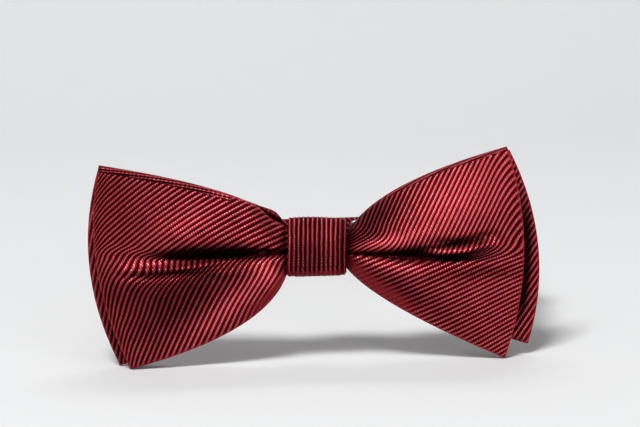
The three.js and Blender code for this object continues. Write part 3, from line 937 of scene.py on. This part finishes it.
# The silk's red from the ribs' crowns to their grooves, with painted highlights on the crowns and
# painted shade in the grooves.
SILK_RED_WITH_RIB_LIGHT_AND_SHADE = (
    (0.02, (0.66, 0.15, 0.17, 1)),  # painted highlights, sparks on the crowns of the ribs
    (0.18, (0.49, 0.075, 0.093, 1)),
    (0.43, (0.25, 0.015, 0.021, 1)),
    (0.73, (0.075, 0.0028, 0.0043, 1)),
    (0.94, (0.010, 0.0005, 0.0008, 1)),  # painted shade in the grooves between them
)
SILK_SHADOW = (0.003, 0.0003, 0.0005, 1)


class Finish:
    """A material, with short ways to add nodes to it. Each of them gives back the new socket."""

    def __init__(self, name):
        self.material = bpy.data.materials.new(name)
        self.material.use_nodes = True
        self.nodes = self.material.node_tree.nodes
        self.links = self.material.node_tree.links
        self.shader = self.nodes["Principled BSDF"]

    def feed(self, socket, value):
        """Links a socket to another one, or sets it to a fixed value."""
        if isinstance(value, bpy.types.NodeSocket):
            self.links.new(value, socket)
        else:
            socket.default_value = value

    def maths(self, operation, *values):
        node = self.nodes.new("ShaderNodeMath")
        node.operation = operation
        for socket, value in zip(node.inputs, values):
            self.feed(socket, value)
        return node.outputs[0]

    def mixed(self, share, a, b):
        node = self.nodes.new("ShaderNodeMix")
        node.data_type = "RGBA"
        for socket, value in ((0, share), (6, a), (7, b)):
            self.feed(node.inputs[socket], value)
        return node.outputs[2]

    def noise(self, vector, scale, detail):
        node = self.nodes.new("ShaderNodeTexNoise")
        node.inputs["Scale"].default_value = scale
        node.inputs["Detail"].default_value = detail
        self.feed(node.inputs["Vector"], vector)
        return node.outputs["Fac"]

    def waves(self, vector, scale, distortion, axis="X"):
        node = self.nodes.new("ShaderNodeTexWave")
        node.bands_direction = axis
        node.inputs["Scale"].default_value = scale
        node.inputs["Distortion"].default_value = distortion
        self.feed(node.inputs["Vector"], vector)
        return node.outputs["Fac"]

    def attribute(self, name, output="Fac"):
        node = self.nodes.new("ShaderNodeAttribute")
        node.attribute_name = name
        return node.outputs[output]

    def place_on_piece(self):
        return self.nodes.new("ShaderNodeTexCoord").outputs["Object"]

    def bumps(self, height, strength, distance):
        node = self.nodes.new("ShaderNodeBump")
        node.inputs["Strength"].default_value = strength
        node.inputs["Distance"].default_value = distance
        self.feed(node.inputs["Height"], height)
        self.feed(self.shader.inputs["Normal"], node.outputs["Normal"])

    def looks(self, **values):
        """Feeds the shader's sockets, named with _ for each space."""
        for name, value in values.items():
            self.feed(self.shader.inputs[name.replace("_", " ")], value)


def ribbed_silk():
    """Ribbed satin: ribs of twisted thread with painted highlights, grooves painted nearly black
    with painted shade, and a fine weave where it is plain."""
    silk = Finish("ribbed_silk")
    cloth = silk.attribute("cloth", "Vector")
    parts = silk.nodes.new("ShaderNodeSeparateXYZ")
    silk.feed(parts.inputs[0], cloth)
    turns, along, shade = parts.outputs
    plain = silk.attribute("plain")
    painted_light = silk.attribute("painted_light")
    wave = silk.maths("COSINE", silk.maths("MULTIPLY", turns, math.pi))
    groove = silk.maths("POWER", silk.maths("ABSOLUTE", wave), 1.7)
    # the twist of the thread along each rib
    lean = silk.maths("MULTIPLY_ADD", along, 1.55, turns)
    twist = silk.maths("SINE", silk.maths("MULTIPLY", lean, 2 * math.pi))
    spot = silk.noise(cloth, 3.1, 3.0)
    wide = silk.noise(cloth, 0.35, 2.0)
    # from the ribs' crowns at 0, with painted highlights, to the grooves at 1, with painted shade
    depth = silk.maths("MULTIPLY_ADD", silk.maths("SUBTRACT", spot, 0.5), 0.8, groove)
    depth = silk.maths("MULTIPLY_ADD", twist, -0.13, depth)
    # painted light and shade move the colour along the ramp, darker where they are below 1
    depth = silk.maths("MULTIPLY_ADD", silk.maths("SUBTRACT", 1.0, painted_light), 0.4, depth)
    depth = silk.maths("MULTIPLY_ADD", silk.maths("SUBTRACT", wide, 0.5), 0.25, depth)
    depth = silk.maths("MULTIPLY_ADD", plain, silk.maths("SUBTRACT", 0.36, depth), depth)
    ramp = silk.nodes.new("ShaderNodeValToRGB")
    stops = ramp.color_ramp.elements
    stops[0].position, stops[0].color = SILK_RED_WITH_RIB_LIGHT_AND_SHADE[0]
    stops[1].position, stops[1].color = SILK_RED_WITH_RIB_LIGHT_AND_SHADE[-1]
    for position, colour in SILK_RED_WITH_RIB_LIGHT_AND_SHADE[1:-1]:
        stops.new(position).color = colour
    silk.feed(ramp.inputs["Fac"], silk.maths("MULTIPLY_ADD", depth, 0.8, 0.2))
    # painted light and shade also scale the colour
    colour_with_painted_light = silk.nodes.new("ShaderNodeVectorMath")
    colour_with_painted_light.operation = "SCALE"
    silk.feed(colour_with_painted_light.inputs[0], ramp.outputs["Color"])
    silk.feed(colour_with_painted_light.inputs["Scale"], silk.maths("MULTIPLY_ADD", painted_light, 0.75, 0.25))
    bright = silk.maths("SUBTRACT", 1.0, silk.maths("MAXIMUM", groove, shade))
    silk.looks(
        Base_Color=silk.mixed(shade, colour_with_painted_light.outputs[0], SILK_SHADOW),
        Metallic=0.72,
        Roughness=silk.maths("MULTIPLY_ADD", groove, 0.25, 0.36),
        Specular_IOR_Level=silk.maths("MULTIPLY", bright, 0.55),
        Specular_Tint=(1.0, 0.55, 0.6, 1),
    )
    height = silk.maths("MULTIPLY_ADD", spot, 0.6, silk.maths("MULTIPLY", twist, 0.6))
    silk.bumps(height, 0.7, 0.00009)
    return silk.material


def sewing_thread():
    """Dark red twisted sewing thread."""
    thread = Finish("sewing_thread")
    strands = thread.waves(thread.place_on_piece(), 900, 3)
    colour = thread.mixed(strands, (0.035, 0.003, 0.005, 1), (0.13, 0.012, 0.018, 1))
    thread.looks(Base_Color=colour, Roughness=0.55)
    thread.bumps(strands, 0.5, 0.00005)
    return thread.material


def woven_canvas():
    """Plain woven interlining."""
    canvas = Finish("woven_canvas")
    where = canvas.place_on_piece()
    fibres = canvas.noise(where, 1500, 3)
    warp, weft = (canvas.waves(where, 420, 0.6, axis) for axis in ("X", "Z"))
    weave = canvas.maths("MULTIPLY_ADD", fibres, 0.4, canvas.maths("MULTIPLY", warp, weft))
    colour = canvas.mixed(weave, (0.28, 0.25, 0.20, 1), (0.62, 0.58, 0.5, 1))
    canvas.looks(Base_Color=colour, Roughness=0.92)
    canvas.bumps(weave, 0.5, 0.0001)
    return canvas.material


def polished_nickel():
    """Nickel plate with fine handling scratches and slightly duller low spots."""
    nickel = Finish("polished_nickel")
    where = nickel.place_on_piece()
    stretch = nickel.nodes.new("ShaderNodeMapping")
    stretch.inputs["Scale"].default_value = (1, 1, 0.08)
    nickel.feed(stretch.inputs["Vector"], where)
    scratch = nickel.noise(stretch.outputs["Vector"], 3000, 4)
    dull = nickel.noise(where, 260, 3)
    rough = nickel.maths("MULTIPLY_ADD", scratch, 0.16, 0.26)
    nickel.looks(
        Base_Color=nickel.mixed(dull, (0.12, 0.12, 0.118, 1), (0.25, 0.247, 0.242, 1)),
        Metallic=1.0,
        Roughness=nickel.maths("MULTIPLY_ADD", dull, 0.12, rough),
    )
    nickel.bumps(scratch, 0.12, 0.00003)
    return nickel.material


silk = ribbed_silk()
thread = sewing_thread()
canvas = woven_canvas()
nickel = polished_nickel()

# ---- camera, floor and light ----


def look_at(eye, target, up):
    """The placing of a camera or light at eye that faces target."""
    forward = Vector(target) - Vector(eye)
    forward.normalize()
    right = forward.cross(Vector(up)).normalized()
    over = right.cross(forward)
    turned = Matrix((right, over, -forward)).transposed().to_4x4()
    return Matrix.Translation(Vector(eye)) @ turned


ROLL = math.radians(1.7)  # the camera's, against the bow
FAR = 600.0  # how far before the bow the camera stands
AIM_X = 1.07
AIM_Z = 8.98
camera_data = bpy.data.cameras.new("camera")
camera_data.sensor_width = 36.0
camera_data.lens = 125.7
camera_data.clip_start = 0.01
camera_data.clip_end = 20
camera_data.dof.use_dof = False
camera = bpy.data.objects.new("camera", camera_data)
bpy.context.scene.collection.objects.link(camera)
eye_at, target_at = place([[AIM_X, -FAR, AIM_Z], [AIM_X, 0, AIM_Z]])
camera_up = UP * math.cos(ROLL) + ACROSS * math.sin(ROLL)
camera.matrix_world = look_at(eye_at, target_at, camera_up)
bpy.context.scene.camera = camera


def studio_floor():
    """A pale floor that curves up into a backdrop."""
    curve_y = 0.35
    curve_r = 0.5
    depth = [(-2.0, 0.0), (curve_y, 0.0)]
    for k in range(1, 13):
        turn = math.radians(90 * k / 12)
        depth.append((curve_y + curve_r * math.sin(turn), curve_r - curve_r * math.cos(turn)))
    depth.append((curve_y + curve_r, 2.4))
    points = [(x, y, z) for y, z in depth for x in (-2.5, 2.5)]
    faces = [(2 * k, 2 * k + 1, 2 * k + 3, 2 * k + 2) for k in range(len(depth) - 1)]
    paint = Finish("pale_floor")
    paint.looks(Base_Color=(0.53, 0.535, 0.54, 1), Roughness=0.9)
    made = add_object("studio_floor", points, faces, paint.material)


def area_light(name, at, target, size, power):
    """A soft rectangular light at one point, facing another."""
    data = bpy.data.lights.new(name, "AREA")
    data.shape = "RECTANGLE"
    data.size, data.size_y = size
    data.energy = power
    made = bpy.data.objects.new(name, data)
    bpy.context.scene.collection.objects.link(made)
    made.matrix_world = look_at(at, target, (0, 0, 1))


studio_floor()
area_light("key_light", (-0.35, -0.75, 1.45), (0, -0.03, 0.03), (0.55, 0.4), 34)
area_light("fill_light", (0.9, -1.1, 0.25), (0, -0.03, 0.03), (0.5, 0.5), 5)
area_light("back_light", (0.1, 0.9, 1.2), (0, 0.3, 0.03), (0.9, 0.6), 12)
world = bpy.data.worlds.new("studio")
world.use_nodes = True
ambient = world.node_tree.nodes["Background"].inputs
ambient["Color"].default_value = (1, 1, 1, 1)
ambient["Strength"].default_value = 0.2
bpy.context.scene.world = world
bpy.context.scene.view_settings.view_transform = "Standard"

# ---- the pieces ----


def fit(piece, body, slot, *nodes):
    """Puts a piece on its body, in place of the CAD nodes it stands for. slot is not used."""
    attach(piece, body)
    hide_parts(*nodes)
    return piece


front_cloth = bow_layer("front_bow_cloth", FRONT, 176, 60, 168, silk)
fit(front_cloth, "bow", "bow_silk", "front_bow")
front_canvas = bow_canvas("front_bow_canvas", FRONT, canvas)
fit(front_canvas, "bow", "interlining", "front_bow_interlining")
rear_cloth = bow_layer("rear_bow_cloth", REAR, 100, 120, 168, silk)
fit(rear_cloth, "bow", "bow_silk", "rear_bow")
rear_canvas = bow_canvas("rear_bow_canvas", REAR, canvas)
fit(rear_canvas, "bow", "interlining", "rear_bow_interlining")
knot_cloth = fit(knot_band(silk), "bow", "knot_silk", "knot_band")
knot_inner = fit(knot_canvas(canvas), "bow", "interlining", "knot_interlining")
tab_cloth = fit(eye_tab(silk), "bow", "strap_silk", "eye_tab")
fit(gather_rings(thread), "bow", "thread", "gather_thread")

SIDEWAYS = (1, 0, 0)
BACKWARDS = (0, 1, 0)
UPWARDS = (0, 0, 1)
seam = stitch_row("knot_seam_stitches", (0, 2.6, -7.74), SIDEWAYS, BACKWARDS, 12, 1.6, 12, thread, 0.16)
fit(seam, "bow", "thread", "knot_seam_thread")
for owner, x in (("strap_anchor", -2), ("eye_tab", 5)):
    tack = stitch_row(owner + "_stitches", (x, STITCH_Y, 0), UPWARDS, SIDEWAYS, 8, 1.4, 8, thread)
    fit(tack, "bow", "thread", owner + "_stitch")
eye_wire = wire_frame(EYE_LEFT, EYE_RIGHT, EYE_HALF, EYE_Y)
fit(together("eye_metal", [eye_wire], nickel), "eye", "nickel", "eye")
fit(hook_piece(nickel), "hook", "nickel", "hook")
fit(slider_piece(nickel), "slider", "nickel", "slider")
tail_tack = stitch_row("tail_end_stitches", (53.4, 41.9, 0), UPWARDS, BACKWARDS, 13, 1.6, 12, thread)
fit(tail_tack, "slider", "thread", "tail_end_stitch")

strap_left, strap_right = neck_strap(silk)
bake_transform(strap_left)
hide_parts("neck_strap_front", "neck_strap")
fit(strap_right, "strap", "strap_silk", "neck_strap")
tail_cloth = strap_tail(silk)
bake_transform(tail_cloth)
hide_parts("strap_tail", "strap_tail_end")
